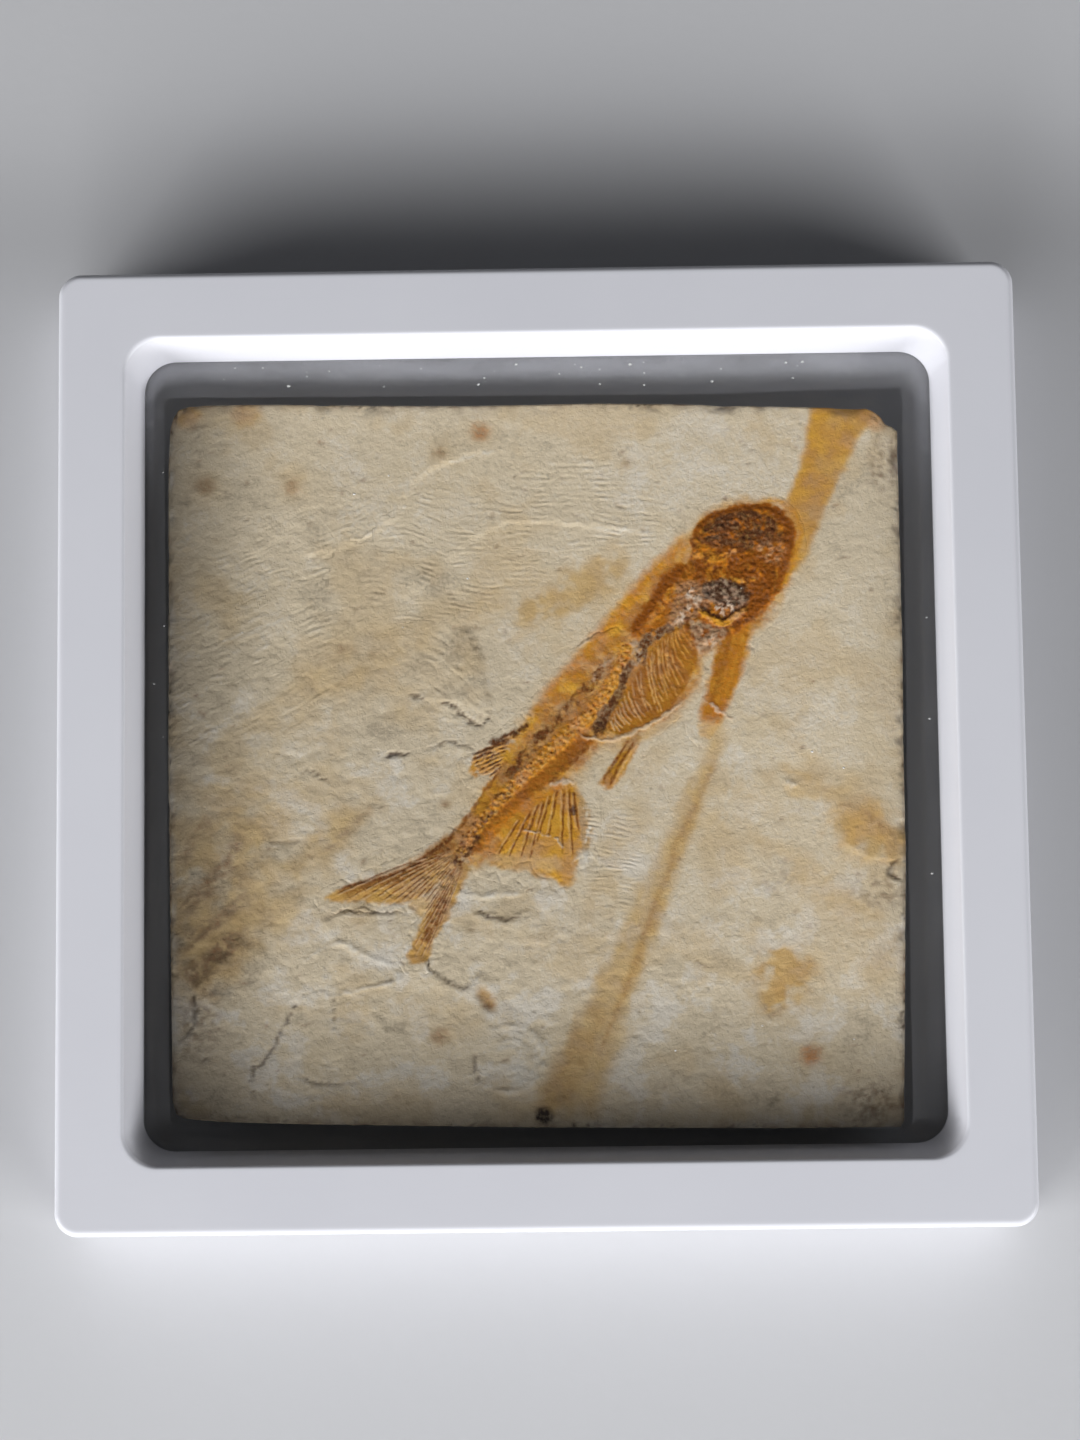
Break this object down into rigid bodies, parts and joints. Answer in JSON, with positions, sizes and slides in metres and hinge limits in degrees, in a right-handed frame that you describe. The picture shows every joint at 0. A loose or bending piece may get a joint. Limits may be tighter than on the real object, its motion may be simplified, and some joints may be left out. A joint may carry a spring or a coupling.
{
  "type": "fossil fish slab",
  "caption": "Square sawn slab of pale limestone with a small fossil fish, held between the clear films of a flat white display frame.",
  "frame": {"origin": "middle of the frame's outline, on the back rim that the frame lies on", "axes": "+X towards the side that the fish's head points to, +Y towards the frame's top edge, +Z out of the face that shows the fish"},
  "size_m": [0.18, 0.18, 0.02],
  "materials": {
    "white_plastic": "satin",
    "clear_film": "gloss",
    "limestone": "matte"
  },
  "bodies": {
    "root": {"back_frame": "white_plastic", "front_frame": "white_plastic", "back_film": "clear_film", "front_film": "clear_film", "slab": "limestone"}
  },
  "joints": []
}
